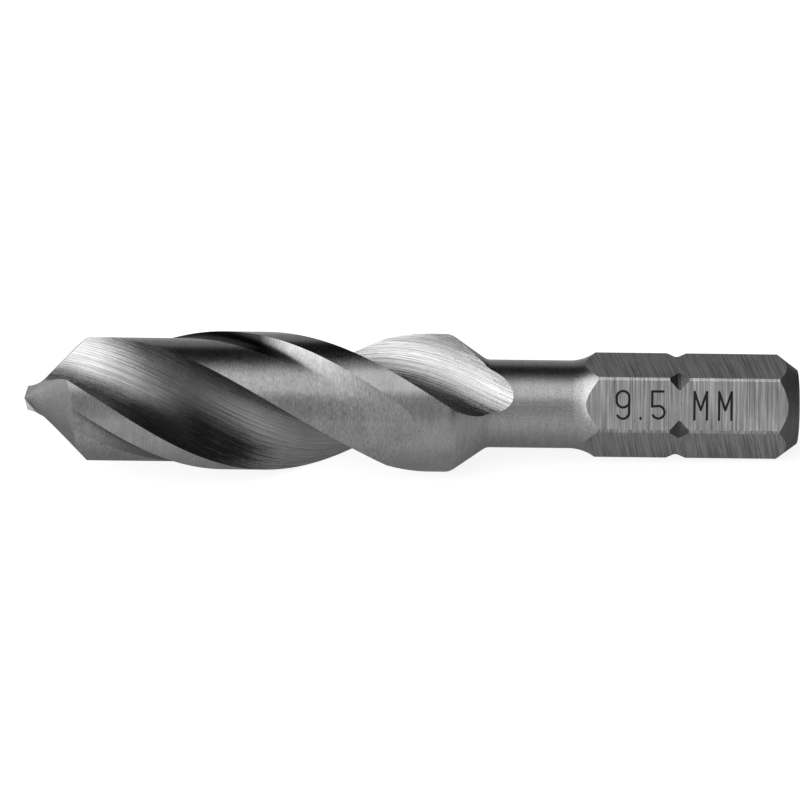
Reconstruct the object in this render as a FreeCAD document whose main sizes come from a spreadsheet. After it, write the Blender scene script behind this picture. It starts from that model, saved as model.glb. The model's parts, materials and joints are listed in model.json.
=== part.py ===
import FreeCAD
import Part
import math
import os
import Sketcher
from FreeCAD import Placement, Rotation, Vector

# Short twist drill with a hexagonal shank, ground and turned from one bar.
# The drill is built along +X, from the point at x = 0 to the end of the shank, and then laid down.
# Angles about the axis run from +Z towards +Y. Lengths are in millimetres, angles in degrees.

SIZES = {
    # turned outline
    "overall_length": 53.4,
    "body_dia": 9.5,
    "shoulder_place": 29.35,
    "shoulder_angle": 34.5,
    "shoulder_round": 1.2,
    "neck_dia": 6.05,
    "flare_round": 3.1,
    "shank_long": 14.05,
    "corner_dia": 7.2,
    "hex_flats": 6.35,
    "notch_from_end": 8.45,
    "notch_wide": 1.35,
    "notch_deep": 0.25,
    "notch_floor": 0.2,
    "chamfer_angle": 36.6,
    "chamfer_deep": 1.05,
    "end_dome": 0.1,
    # flutes
    "lead": 47.0,
    "edge_angle": 35.7,
    "flute_angle": 92.0,
    "face_lean": 47.7,
    "web": 2.6,
    "web_growth": 0.02,
    "flute_past_shoulder": 1.8,
    "flute_wheel": 25.0,
    "runout_blend": 2.2,
    "runout_lean": 40.9,
    "lift_angle": 32.3,
    # lands
    "relief_dia": 8.48,
    "margin_angle": 20.5,
    "relief_round": 1.8,
    "relief_round_end": 3.4,
    "relief_widens": 11.5,
    "relief_widening": 2.4,
    "relief_before_shoulder": 8.8,
    "relief_wheel": 54.0,
    "relief_lean": 34.0,
    "relief_top_rise": 0.1,
    # point
    "point_angle": 122.0,
    "lip_angle": 17.0,
    "flank_rise": 0.0041,
    "chisel_slope": 0.3,
    "chisel_blend": 45.0,
    "heel_blend": 25.0,
    "gash_web": 1.66,
    "gash_angle": 45.0,
    "gash_round": 2.0,
    "gash_place": 0.93,
    # marking on one flat of the shank
    "mark_from_hex": 1.27,
    "mark_high": 1.9,
    "mark_wide": 0.86,
    "mark_pitch": 1.22,
    "mark_space": 1.7,
    "mark_line": 0.17,
    "mark_deep": 0.06,
}

# How far the cutters reach past the steel that they cut, along the drill and out of its sides.
CLEAR = 2.5
RELIEF_CLEAR = 0.1

# Sections of the helical cutters: the turn between two of them, their distance where a wheel lifts
# out, how far before the lift that distance starts, and how far a land's cutter reaches over the flute.
SECTION_TURN = 15.0
RUNOUT_STEP = 0.6
RUNOUT_LEAD_IN = 3.0
OVERLAP_ANGLE = 8.0

# The cone of a flank: its length, the end of the stock that it is taken from, and the points on it.
CONE_LENGTH = 6.2
STOCK_END = 5.7
FLANK_STEPS = 12

# Shapes of the characters, as shares of their height, their width or the stroke.
NINE_WAIST = 0.14
FIVE_BAR = 0.9
FIVE_DROP = 1.1
M_DIP = 0.35
DOT_LENGTH = 0.4
HOOK_END = -150.0

# The least volume that a cut takes away, and the fineness of the mesh that finds how the drill lies.
LEAST_CUT = 1e-4
FINE_MESH = 0.01

# The rolls about the axis that are tried for the one in which the drill comes to rest.
FIRST_ROLL = 52.0
ROLL_STEP = 0.25
ROLL_STEPS = 40

AXIS = Vector(1, 0, 0)
HEX_PLACE = "Sizes.overall_length - Sizes.shank_long"
SIDES = 6

doc = FreeCAD.newDocument("hex_shank_twist_drill_bit")


def add_sheet():
    made = doc.addObject("Spreadsheet::Sheet", "Sizes")
    for row, (name, value) in enumerate(SIZES.items(), start=1):
        made.set("A%d" % row, name)
        made.set("B%d" % row, str(value))
        made.setAlias("B%d" % row, name)
    doc.recompute()
    return made


sheet = add_sheet()


def size(name):
    return float(sheet.get(name))


def rad(name):
    return math.radians(size(name))


def flute_stop():
    """Where the wheel of a flute starts to lift out."""
    return size("shoulder_place") + size("flute_past_shoulder")


def hex_place():
    """Where the full hexagon of the shank starts."""
    return size("overall_length") - size("shank_long")


def relief_stop():
    """Where the wheel that relieves a land starts to lift out."""
    return size("shoulder_place") - size("relief_before_shoulder")


# Sketched and turned features

def new_sketch(body, name, role):
    sketch = body.newObject("Sketcher::SketchObject", name)
    plane = next(item for item in body.Origin.OriginFeatures if item.Role == role)
    sketch.AttachmentSupport = [(plane, "")]
    sketch.MapMode = "FlatFace"
    return sketch


def bind(sketch, constraint, name, expression):
    index = sketch.addConstraint(constraint)
    sketch.renameConstraint(index, name)
    sketch.setExpression("Constraints." + name, expression)


def arc_between(start, end, radius, side):
    """Arc from start to end, bowed to the left of the chord where side is 1, to the right where -1."""
    chord = end - start
    left = Vector(-chord.y, chord.x, 0).normalize()
    rise = radius - math.sqrt(radius ** 2 - (chord.Length / 2) ** 2)
    return Part.Arc(start, (start + end) * 0.5 + left * (rise * side), end)


def arc_ends(sketch, index, start):
    """Numbers of an arc's first and last corner, whichever way round the sketch holds it."""
    if sketch.getPoint(index, 1).distanceToPoint(start) < sketch.getPoint(index, 2).distanceToPoint(start):
        return 1, 2
    return 2, 1


def draw_outline(sketch, corners, arcs):
    """Closed outline. corners maps a name to its two expressions, arcs a corner to radius and side."""
    names = list(corners)
    places = []
    for name in names:
        along, across = corners[name]
        places.append(Vector(sketch.evalExpression(along), sketch.evalExpression(across), 0))
    ends = []
    for index, name in enumerate(names):
        start = places[index]
        end = places[(index + 1) % len(names)]
        if name in arcs:
            radius, side = arcs[name]
            sketch.addGeometry(arc_between(start, end, sketch.evalExpression(radius), side), False)
            ends.append(arc_ends(sketch, index, start))
            bend = Sketcher.Constraint("Radius", index, start.distanceToPoint(end))
            bind(sketch, bend, name + "_radius", radius)
        else:
            sketch.addGeometry(Part.LineSegment(start, end), False)
            ends.append((1, 2))
    for index, name in enumerate(names):
        before = (index - 1) % len(names)
        sketch.addConstraint(Sketcher.Constraint("Coincident", before, ends[before][1], index, ends[index][0]))
        for kind, expression in zip(("DistanceX", "DistanceY"), corners[name]):
            value = sketch.evalExpression(expression)
            pin = Sketcher.Constraint(kind, -1, 1, index, ends[index][0], value)
            bind(sketch, pin, "%s_%s" % (name, kind[-1].lower()), expression)


def turned_corners():
    """Half section of the turned bar, from the point end along the outside to the shank end."""
    body = "Sizes.body_dia / 2"
    neck = "Sizes.neck_dia / 2"
    corner = "Sizes.corner_dia / 2"
    slope = "tan(Sizes.shoulder_angle)"
    trim = "Sizes.shoulder_round * tan(Sizes.shoulder_angle / 2)"
    flare = "sqrt(Sizes.flare_round ^ 2 - (Sizes.flare_round - %s + %s) ^ 2)" % (corner, neck)
    notch = "Sizes.overall_length - Sizes.notch_from_end"
    floor = corner + " - Sizes.notch_deep"
    rim = corner + " - Sizes.chamfer_deep"
    back = "Sizes.overall_length - Sizes.end_dome"
    return {
        "point_axis": ("0", "0"),
        "point_rim": ("0", body),
        "shoulder_start": ("Sizes.shoulder_place - %s" % trim, body),
        "shoulder_end": ("Sizes.shoulder_place + %s * cos(Sizes.shoulder_angle)" % trim,
                         "%s - %s * sin(Sizes.shoulder_angle)" % (body, trim)),
        "neck_start": ("Sizes.shoulder_place + (%s - %s) / %s" % (body, neck, slope), neck),
        "flare_start": (HEX_PLACE + " - " + flare, neck),
        "hex_start": (HEX_PLACE, corner),
        "notch_start": (notch + " - Sizes.notch_wide / 2", corner),
        "notch_low": (notch + " - Sizes.notch_floor / 2", floor),
        "notch_high": (notch + " + Sizes.notch_floor / 2", floor),
        "notch_end": (notch + " + Sizes.notch_wide / 2", corner),
        "chamfer_start": ("%s - Sizes.chamfer_deep / tan(Sizes.chamfer_angle)" % back, corner),
        "end_rim": (back, rim),
        "end_axis": ("Sizes.overall_length", "0"),
    }


def add_blank():
    """The bar as it leaves the lathe and the mill: turned outline with six flats on the shank."""
    body = doc.addObject("PartDesign::Body", "Blank")
    outline = new_sketch(body, "TurnedOutline", "XZ_Plane")
    rim = "(Sizes.corner_dia / 2 - Sizes.chamfer_deep)"
    arcs = {
        "shoulder_start": ("Sizes.shoulder_round", 1),
        "flare_start": ("Sizes.flare_round", -1),
        "end_rim": ("(%s ^ 2 + Sizes.end_dome ^ 2) / (2 * Sizes.end_dome)" % rim, 1),
    }
    draw_outline(outline, turned_corners(), arcs)
    turned = body.newObject("PartDesign::Revolution", "TurnedBar")
    turned.Profile = outline
    turned.ReferenceAxis = (outline, ["H_Axis"])
    turned.Angle = 360
    doc.recompute()
    bar_volume = turned.Shape.Volume
    mill_flats(body)
    doc.recompute()
    if body.Shape.Volume >= bar_volume:
        raise RuntimeError("the flats took nothing off the bar")
    return body


def mill_flats(body):
    """Everything outside a hexagon is cut away, from the start of the flare to the shank's end."""
    section = new_sketch(body, "HexSection", "YZ_Plane")
    reach = "sqrt(Sizes.flare_round ^ 2 - (Sizes.flare_round - Sizes.corner_dia / 2 + Sizes.neck_dia / 2) ^ 2)"
    start = HEX_PLACE + " - " + reach
    section.AttachmentOffset = Placement(Vector(0, 0, section.evalExpression(start)), Rotation())
    section.setExpression(".AttachmentOffset.Base.z", start)
    corner = size("hex_flats") / math.sqrt(3)
    points = [Vector(corner * math.cos(turn), corner * math.sin(turn), 0)
              for turn in (2 * math.pi * step / SIDES for step in range(SIDES))]
    for step in range(SIDES):
        section.addGeometry(Part.LineSegment(points[step], points[(step + 1) % SIDES]), False)
    inner = section.addGeometry(Part.Circle(Vector(0, 0, 0), Vector(0, 0, 1), corner), True)
    outer = section.addGeometry(Part.Circle(Vector(0, 0, 0), Vector(0, 0, 1), size("body_dia")), False)
    for step in range(SIDES):
        following = (step + 1) % SIDES
        section.addConstraint(Sketcher.Constraint("Coincident", step, 2, following, 1))
        section.addConstraint(Sketcher.Constraint("PointOnObject", step, 1, inner))
        if step:
            section.addConstraint(Sketcher.Constraint("Equal", 0, step))
    section.addConstraint(Sketcher.Constraint("Horizontal", 1))
    for circle in (inner, outer):
        section.addConstraint(Sketcher.Constraint("Coincident", circle, 3, -1, 1))
    bind(section, Sketcher.Constraint("Radius", inner, corner), "corner_radius", "Sizes.hex_flats / sqrt(3)")
    bind(section, Sketcher.Constraint("Radius", outer, size("body_dia")), "outer_radius", "Sizes.body_dia")
    flats = body.newObject("PartDesign::Pocket", "HexFlats")
    flats.Profile = section
    flats.Reversed = True
    flats.setExpression("Length", "Sizes.overall_length")


# Helical cutters

def helix_turn(along):
    """How far the flutes have turned at a distance from the point."""
    return 360.0 * along / size("lead")


def helix_stations(first, last):
    """Evenly spaced places of a cutter's sections, the last one left out."""
    count = math.ceil((last - first) / size("lead") * 360.0 / SECTION_TURN)
    return [first + (last - first) * step / count for step in range(count)]


def wheel_lift(past, ahead, lean, wheel):
    """Rise of a grinding wheel's rim past its lowest point; across the path all of the rim rises alike."""
    path = past / math.cos(lean) + ahead * math.sin(lean)
    path = min(max(path, 0.0), wheel)
    return wheel - math.sqrt(wheel ** 2 - path ** 2)


def section_frame(along, angle):
    """Turns (outward, ahead) in a section into a place on the drill; ahead is towards smaller angles."""
    turn = math.radians(angle)

    def place(outward, ahead):
        across = outward * math.sin(turn) - ahead * math.cos(turn)
        up = outward * math.cos(turn) + ahead * math.sin(turn)
        return Vector(along, across, up)

    return place


def polar(radius, degrees):
    """(outward, ahead) of a point in a section, its angle from the outward direction towards ahead."""
    turn = math.radians(degrees)
    return radius * math.cos(turn), radius * math.sin(turn)


def flute_section():
    """One flute across the axis: a straight face behind the cutting edge, and one arc from it to the heel."""
    half = size("flute_angle") / 2
    lean = rad("face_lean")
    edge_out, edge_ahead = polar(size("body_dia") / 2, half)
    heel_out, heel_ahead = polar(size("relief_dia") / 2, -half)
    core = size("web") / 2
    offset = edge_ahead + math.tan(lean) * (core - edge_out)
    slope = (math.sin(lean) - 1) / math.cos(lean)
    reach = heel_out - core + (heel_ahead - offset) * slope
    square = (heel_out - core) ** 2 + (heel_ahead - offset) ** 2
    radius = (reach - math.sqrt(reach ** 2 - slope ** 2 * square)) / slope ** 2
    centre = (core + radius, offset + slope * radius)
    tangent = (centre[0] - radius * math.sin(lean), centre[1] + radius * math.cos(lean))
    low = (core, centre[1])
    heel = (heel_out, heel_ahead)
    past_edge = (edge_out + CLEAR * math.cos(lean), edge_ahead + CLEAR * math.sin(lean))
    heel_dir = ((centre[1] - heel[1]) / radius, (heel[0] - centre[0]) / radius)
    past_heel = (heel[0] + CLEAR * heel_dir[0], heel[1] + CLEAR * heel_dir[1])
    return past_edge, tangent, low, heel, past_heel


def way_off_helix(along):
    """How far the wheel has gone straight on instead of round: it leaves the helix gradually about the stop."""
    past = along - flute_stop()
    blend = size("runout_blend")
    eased = max(past + blend, 0.0) ** 2 / (4 * blend)
    return eased if past < blend else past


def flute_wire(along):
    """Section of the flute's cutter. Past the stop the wheel goes straight on, out of the bar."""
    lean = rad("runout_lean")
    lift_dir = rad("lift_angle")
    stop = flute_stop()
    straight = way_off_helix(along)
    middle = size("edge_angle") + size("flute_angle") / 2
    frame = section_frame(along, middle - helix_turn(along - straight))
    growth = size("web_growth") / 2 * max(along, 0.0)
    shift = straight * math.tan(lean)
    corners = []
    for outward, ahead in flute_section():
        wheel = size("flute_wheel") - outward + size("web") / 2
        lift = wheel_lift(along - stop, ahead, lean, wheel)
        corners.append(frame(outward + growth + lift * math.cos(lift_dir) + shift * math.sin(lift_dir),
                             ahead - lift * math.sin(lift_dir) + shift * math.cos(lift_dir)))
    past_edge, tangent, low, heel, past_heel = corners
    floor = Part.Arc(tangent, low, heel).toShape()
    wire = Part.Wire([
        Part.LineSegment(past_edge, tangent).toShape(),
        floor,
        Part.LineSegment(heel, past_heel).toShape(),
        Part.LineSegment(past_heel, past_edge).toShape(),
    ])
    depth_left = size("neck_dia") / 2 - floor.distToShape(Part.Vertex(along, 0, 0))[0]
    return wire, depth_left


def flute_cutter():
    """Solid that one flute leaves empty: helix, growing web, and the wheel's way out over the neck."""
    along = flute_stop() - RUNOUT_LEAD_IN
    wires = [flute_wire(place)[0] for place in helix_stations(-CLEAR, along)]
    depth_left = size("neck_dia") / 2
    while depth_left > -RUNOUT_STEP:
        wire, depth_left = flute_wire(along)
        wires.append(wire)
        along += RUNOUT_STEP
    return Part.makeLoft(wires, True, False)


def relief_fillet(along):
    """Radius of the fillet beside the margin, which widens just before the wheel lifts out."""
    past = along - size("shoulder_place") + size("relief_widens")
    share = min(max(past / size("relief_widening"), 0.0), 1.0)
    grown = share ** 2 * (3 - 2 * share)
    return size("relief_round") + (size("relief_round_end") - size("relief_round")) * grown


def relief_wire(along):
    """Section of the cutter that relieves a land: a smaller radius that rises to the margin in a fillet."""
    low_radius = size("relief_dia") / 2
    round_radius = relief_fillet(along)
    body_radius = size("body_dia") / 2
    pitch_radius = low_radius + round_radius
    wide = math.degrees(math.acos((pitch_radius ** 2 + body_radius ** 2 - round_radius ** 2)
                                  / (2 * pitch_radius * body_radius)))
    foot_angle = size("edge_angle") - size("margin_angle") - wide
    far = foot_angle - (size("edge_angle") + size("flute_angle") - 180) + OVERLAP_ANGLE
    frame = section_frame(along, foot_angle - helix_turn(along))

    def lift(degrees):
        across = low_radius * math.radians(degrees)
        return wheel_lift(along - relief_stop(), across, rad("relief_lean"), size("relief_wheel"))

    foot = lift(0)
    top_out, top_ahead = polar(body_radius, -wide)
    top = (top_out + foot * size("relief_top_rise"), top_ahead)
    to_top = (top_out - pitch_radius, top_ahead)
    half_swing = (math.atan2(-to_top[1], -to_top[0])) / 2
    flatter = 1 - foot * (1 - size("relief_top_rise")) / (top_out - low_radius)
    middle = (low_radius + foot + round_radius * (1 - math.cos(half_swing)) * flatter,
              -round_radius * math.sin(half_swing))
    steep = (-to_top[1] / round_radius, to_top[0] / round_radius)
    past_top = (top[0] + steep[0], top[1] + steep[1])
    outer = math.hypot(*past_top)
    outer_angle = math.degrees(math.atan2(past_top[1], past_top[0]))
    heel = frame(*polar(low_radius + lift(far), far))
    between = frame(*polar(low_radius + lift(far / 2), far / 2))
    far_out = frame(*polar(outer, far))
    return Part.Wire([
        Part.Arc(heel, between, frame(low_radius + foot, 0)).toShape(),
        Part.Arc(frame(low_radius + foot, 0), frame(*middle), frame(*top)).toShape(),
        Part.LineSegment(frame(*top), frame(*past_top)).toShape(),
        Part.Arc(frame(*past_top), frame(*polar(outer, (outer_angle + far) / 2)), far_out).toShape(),
        Part.LineSegment(far_out, heel).toShape(),
    ])


def relief_cutter():
    """Solid ground off one land behind its margin, until the wheel lifts out."""
    wheel = size("relief_wheel")
    depth = (size("body_dia") - size("relief_dia")) / 2 + RELIEF_CLEAR
    last = relief_stop() + math.sqrt(2 * wheel * depth - depth ** 2) * math.cos(rad("relief_lean"))
    fine = relief_stop() - RUNOUT_LEAD_IN
    count = math.ceil((last - fine) / RUNOUT_STEP)
    places = helix_stations(-CLEAR, fine) + [fine + (last - fine) * step / count for step in range(count + 1)]
    return Part.makeLoft([relief_wire(place) for place in places], True, False)


# Point

def flank_slope(turn):
    """Setback of the flank for each millimetre of radius, turn degrees behind the leading end of the chisel."""
    lip_slope = 1 / math.tan(rad("point_angle") / 2)
    behind = max(0.0, turn - (90 - size("lip_angle")))
    slope = lip_slope + size("flank_rise") * behind
    lead_in = min(1.0, turn / size("chisel_blend"))
    lead_out = min(1.0, (180 - turn) / size("heel_blend"))
    share = math.sin(math.pi / 2 * lead_in) * math.sin(math.pi / 2 * lead_out)
    return size("chisel_slope") + (slope - size("chisel_slope")) * share


def point_cutter():
    """Steel ground off the front: what is left is a cone of straight lines through the point."""
    edges = []
    for first in (90, 270):
        places = []
        for step in range(FLANK_STEPS + 1):
            turn = 180.0 * step / FLANK_STEPS
            angle = math.radians(first - turn)
            radius = CONE_LENGTH / flank_slope(turn)
            places.append(Vector(CONE_LENGTH, radius * math.sin(angle), radius * math.cos(angle)))
        curve = Part.BSplineCurve()
        curve.interpolate(places)
        edges.append(curve.toShape())
    kept = Part.makeLoft([Part.Vertex(0, 0, 0), Part.Wire(edges)], True, True)
    stock = Part.makeCylinder(size("body_dia") / 2 + CLEAR, STOCK_END + CLEAR, Vector(-CLEAR, 0, 0), AXIS)
    return stock.cut(kept)


def gash_cutter():
    """Notch that thins the web: a wall beside the chisel edge, a fillet, and a ramp across the heel."""
    wall = size("gash_web") / 2
    ramp = rad("gash_angle")
    trim = size("gash_round") * math.tan(ramp / 2)
    corner = size("gash_place")
    far = size("body_dia")
    run = far / math.tan(ramp)
    start = Vector(corner - trim, wall, 0)
    end = Vector(corner + trim * math.cos(ramp), wall + trim * math.sin(ramp), 0)
    top = Vector(corner + run, wall + far, 0)
    bow = arc_between(start, end, size("gash_round"), -1)
    front = -CLEAR
    profile = Part.Wire([
        Part.LineSegment(Vector(front, wall, 0), start).toShape(),
        bow.toShape(),
        Part.LineSegment(end, top).toShape(),
        Part.LineSegment(top, Vector(front, wall + far, 0)).toShape(),
        Part.LineSegment(Vector(front, wall + far, 0), Vector(front, wall, 0)).toShape(),
    ])
    profile.translate(Vector(0, 0, -far))
    return Part.Face(profile).extrude(Vector(0, 0, 2 * far))


# Marking

def line_stroke(start, end):
    """Round-ended stroke along a straight line."""
    half = size("mark_line") / 2
    along = (end - start).normalize()
    side = Vector(-along.y, along.x, 0) * half
    tip = along * half
    return Part.Face(Part.Wire([
        Part.LineSegment(start + side, end + side).toShape(),
        Part.Arc(end + side, end + tip, end - side).toShape(),
        Part.LineSegment(end - side, start - side).toShape(),
        Part.Arc(start - side, start - tip, start + side).toShape(),
    ]))


def arc_stroke(centre, radius, first, last):
    """Round-ended stroke along an arc, from one angle to another, in degrees."""
    half = size("mark_line") / 2

    def at(distance, degrees):
        turn = math.radians(degrees)
        return centre + Vector(math.cos(turn), math.sin(turn), 0) * distance

    middle = (first + last) / 2
    cap = math.degrees(half / radius) * (1 if last > first else -1)
    return Part.Face(Part.Wire([
        Part.Arc(at(radius + half, first), at(radius + half, middle), at(radius + half, last)).toShape(),
        Part.Arc(at(radius + half, last), at(radius, last + cap), at(radius - half, last)).toShape(),
        Part.Arc(at(radius - half, last), at(radius - half, middle), at(radius - half, first)).toShape(),
        Part.Arc(at(radius - half, first), at(radius, first - cap), at(radius + half, first)).toShape(),
    ]))


def nine(left, low, wide, high):
    bowl = wide / 2
    top = Vector(left + bowl, low + high - bowl, 0)
    foot = Vector(left + bowl, low + bowl, 0)
    waist = top - Vector(0, high * NINE_WAIST, 0)
    return [
        arc_stroke(top, bowl, 0, 180),
        line_stroke(top - Vector(bowl, 0, 0), waist - Vector(bowl, 0, 0)),
        arc_stroke(waist, bowl, 180, 360),
        line_stroke(top + Vector(bowl, 0, 0), foot + Vector(bowl, 0, 0)),
        arc_stroke(foot, bowl, 0, HOOK_END),
    ]


def five(left, low, wide, high):
    bowl = wide / 2
    centre = Vector(left + bowl, low + bowl * FIVE_DROP, 0)
    shoulder = Vector(left, low + bowl * 2, 0)
    corner = Vector(left, low + high, 0)
    return [
        line_stroke(corner, Vector(left + wide * FIVE_BAR, low + high, 0)),
        line_stroke(corner, shoulder),
        line_stroke(shoulder, centre + Vector(0, bowl, 0)),
        arc_stroke(centre, bowl, 90, HOOK_END),
    ]


def point_mark(left, low, wide, high):
    dot = Vector(left + wide / 2, low, 0)
    return [line_stroke(dot, dot + Vector(0, size("mark_line") * DOT_LENGTH, 0))]


def letter_m(left, low, wide, high):
    centre = Vector(left + wide / 2, low + high * M_DIP, 0)
    feet = [Vector(left, low, 0), Vector(left + wide, low, 0)]
    tops = [foot + Vector(0, high, 0) for foot in feet]
    return [
        line_stroke(feet[0], tops[0]),
        line_stroke(tops[0], centre),
        line_stroke(centre, tops[1]),
        line_stroke(tops[1], feet[1]),
    ]


def marking_cutter():
    """Shallow strokes that give the diameter, read from above with the point to the left."""
    wide = size("mark_wide")
    high = size("mark_high")
    pitch = size("mark_pitch")
    left = hex_place() + size("mark_from_hex")
    strokes = []
    for draw, gap in ((nine, pitch), (point_mark, pitch), (five, pitch + size("mark_space")),
                      (letter_m, size("mark_space")), (letter_m, pitch)):
        strokes += draw(left, -high / 2, wide, high)
        left += gap
    flat = size("hex_flats") / 2
    deep = size("mark_deep")
    cuts = []
    for stroke in strokes:
        stroke.translate(Vector(0, 0, flat - deep))
        cuts.append(stroke.extrude(Vector(0, 0, deep * 2)))
    return cuts[0].multiFuse(cuts[1:])


# Assembly of the cuts

def add_cutter(name, shape, opposite=False):
    made = doc.addObject("Part::Feature", name)
    made.Shape = shape
    if opposite:
        made.Placement = Placement(Vector(0, 0, 0), Rotation(AXIS, 180))
    return made


def add_cut(base, name, tools):
    """Takes the tools off the base, and checks that they removed something."""
    for index, tool in enumerate(tools):
        doc.recompute()
        before = base.Shape.Volume
        cut = doc.addObject("Part::Cut", "%s%d" % (name, index + 1))
        cut.Base = base
        cut.Tool = tool
        doc.recompute()
        if cut.Shape.isNull() or cut.Shape.Volume >= before - LEAST_CUT:
            raise RuntimeError("%s cut nothing" % cut.Name)
        base = cut
    return base


def lowest_edge(points, weight):
    """The line that the drill rests on, as seen from the side: the two lowest points about its weight."""
    hull = []
    for point in sorted({(round(place.x, 3), round(place.z, 3)) for place in points}):
        while len(hull) > 1:
            (ax, az), (bx, bz) = hull[-2], hull[-1]
            if (bx - ax) * (point[1] - az) - (bz - az) * (point[0] - ax) > 0:
                break
            hull.pop()
        hull.append(point)
    for start, end in zip(hull, hull[1:]):
        if start[0] <= weight <= end[0]:
            return start, end
    raise RuntimeError("the drill has nothing to rest on")


def settled(points, weight, roll):
    """Tilt about the Y axis, height of the weight and the turns, once the drill is rolled and lies on two points."""
    rolled = Rotation(AXIS, roll)
    turned = [rolled.multVec(point) for point in points]
    centre = rolled.multVec(weight)
    start, end = lowest_edge(turned, centre.x)
    tilt = math.degrees(math.atan2(end[1] - start[1], end[0] - start[0]))
    above = centre.z - start[1] - math.tan(math.radians(tilt)) * (centre.x - start[0])
    return above * math.cos(math.radians(tilt)), tilt


def lay_down(drill):
    """Lays the drill on a flat surface as it comes to rest: rolled to where its weight is lowest."""
    points = drill.Shape.tessellate(FINE_MESH)[0]
    outer = [point for point in points if math.hypot(point.y, point.z) > size("hex_flats") / 2]
    weight = drill.Shape.Solids[0].CenterOfMass
    rolls = [FIRST_ROLL + ROLL_STEP * step for step in range(ROLL_STEPS + 1)]
    roll = min(rolls, key=lambda angle: settled(outer, weight, angle)[0])
    height, tilt = settled(outer, weight, roll)
    turn = Rotation(Vector(0, 1, 0), tilt).multiply(Rotation(AXIS, roll))
    laid = [turn.multVec(point) for point in points]
    middle = Vector(-(min(p.x for p in laid) + max(p.x for p in laid)) / 2,
                    -(min(p.y for p in laid) + max(p.y for p in laid)) / 2,
                    -min(p.z for p in laid))
    drill.Placement = Placement(middle, turn)
    print("roll %.2f tilt %.3f, moved by %.4f %.4f %.4f, weight %.3f high" % (roll, tilt, *middle, height))


def check_document():
    for item in doc.Objects:
        if "Invalid" in item.State or "Error" in item.State:
            raise RuntimeError("%s failed: %s" % (item.Name, item.State))


def write_part(item):
    shape = item.Shape
    if shape.isNull() or not shape.isValid() or len(shape.Solids) != 1:
        raise RuntimeError("%s is not one sound solid" % item.Label)
    os.makedirs("parts", exist_ok=True)
    shape.exportStep("parts/%s.step" % item.Label)
    points = shape.tessellate(FINE_MESH)[0]
    spans = [max(p[axis] for p in points) - min(p[axis] for p in points) for axis in range(3)]
    print("%s volume %.2f box %.3f %.3f %.3f" % (item.Label, shape.Volume, *spans))


def build_drill():
    blank = add_blank()
    point = add_cutter("PointCutter", point_cutter())
    flutes = [add_cutter("FluteCutter%d" % (side + 1), flute_cutter(), bool(side)) for side in range(2)]
    reliefs = [add_cutter("ReliefCutter%d" % (side + 1), relief_cutter(), bool(side)) for side in range(2)]
    gashes = [add_cutter("GashCutter%d" % (side + 1), gash_cutter(), bool(side)) for side in range(2)]
    marking = add_cutter("MarkingCutter", marking_cutter())
    drill = add_cut(blank, "PointCut", [point])
    drill = add_cut(drill, "FluteCut", flutes)
    drill = add_cut(drill, "ReliefCut", reliefs)
    drill = add_cut(drill, "GashCut", gashes)
    drill = add_cut(drill, "MarkingCut", [marking])
    drill.Label = "drill_bit"
    return drill


drill_bit = build_drill()
lay_down(drill_bit)
doc.recompute()
check_document()
write_part(drill_bit)
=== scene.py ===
import json
import math

import bmesh
import bpy
import numpy as np
from mathutils import Matrix, Vector

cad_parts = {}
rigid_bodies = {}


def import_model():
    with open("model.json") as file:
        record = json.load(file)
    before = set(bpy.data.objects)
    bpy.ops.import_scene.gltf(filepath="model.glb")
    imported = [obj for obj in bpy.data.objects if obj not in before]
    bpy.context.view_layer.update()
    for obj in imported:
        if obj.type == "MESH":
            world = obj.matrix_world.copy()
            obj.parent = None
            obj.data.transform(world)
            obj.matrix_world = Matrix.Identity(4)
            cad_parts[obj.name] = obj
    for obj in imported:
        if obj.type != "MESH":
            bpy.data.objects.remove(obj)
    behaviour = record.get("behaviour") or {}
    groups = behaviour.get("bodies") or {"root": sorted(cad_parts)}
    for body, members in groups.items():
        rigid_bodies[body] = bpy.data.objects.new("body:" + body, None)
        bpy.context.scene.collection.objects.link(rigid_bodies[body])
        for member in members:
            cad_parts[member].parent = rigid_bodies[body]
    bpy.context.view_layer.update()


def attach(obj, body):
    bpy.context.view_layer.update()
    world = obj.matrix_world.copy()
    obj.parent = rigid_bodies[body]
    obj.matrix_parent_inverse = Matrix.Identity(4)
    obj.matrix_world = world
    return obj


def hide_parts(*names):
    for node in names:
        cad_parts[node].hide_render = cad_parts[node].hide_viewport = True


for item in list(bpy.data.objects):
    bpy.data.objects.remove(item, do_unlink=True)

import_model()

# Sizes of the drill in millimetres and degrees, the same as in the CAD source.
# The drill is modelled along X from its point at x = 0, with its axis at y = 0 and z = 0.
LENGTH = 53.4
BODY = 9.5
SHOULDER = 29.35
SHOULDER_ANGLE = 34.5
SHOULDER_ROUND = 1.2
NECK = 6.05
FLARE_ROUND = 3.1
HEX = LENGTH - 14.05
CORNER = 7.2
FLATS = 6.35
NOTCH_FROM_END = 8.45
NOTCH_WIDE = 1.35
NOTCH_DEEP = 0.25
NOTCH_FLOOR = 0.2
CHAMFER_ANGLE = 36.6
CHAMFER_DEEP = 1.05
END_DOME = 0.1
LEAD = 47.0
EDGE_ANGLE = 35.7
FLUTE_ANGLE = 92.0
FACE_LEAN = 47.7
WEB = 2.6
WEB_GROWTH = 0.02
FLUTE_STOP = SHOULDER + 1.8
FLUTE_WHEEL = 25.0
RUNOUT_BLEND = 2.2
RUNOUT_LEAN = 40.9
LIFT_ANGLE = 32.3
RELIEF = 8.48
MARGIN_ANGLE = 20.5
RELIEF_ROUND = 1.8
RELIEF_ROUND_END = 3.4
RELIEF_WIDENS = SHOULDER - 11.5
RELIEF_WIDENING = 2.4
RELIEF_STOP = SHOULDER - 8.8
RELIEF_WHEEL = 54.0
RELIEF_LEAN = 34.0
RELIEF_TOP_RISE = 0.1
POINT_ANGLE = 122.0
LIP_ANGLE = 17.0
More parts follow.
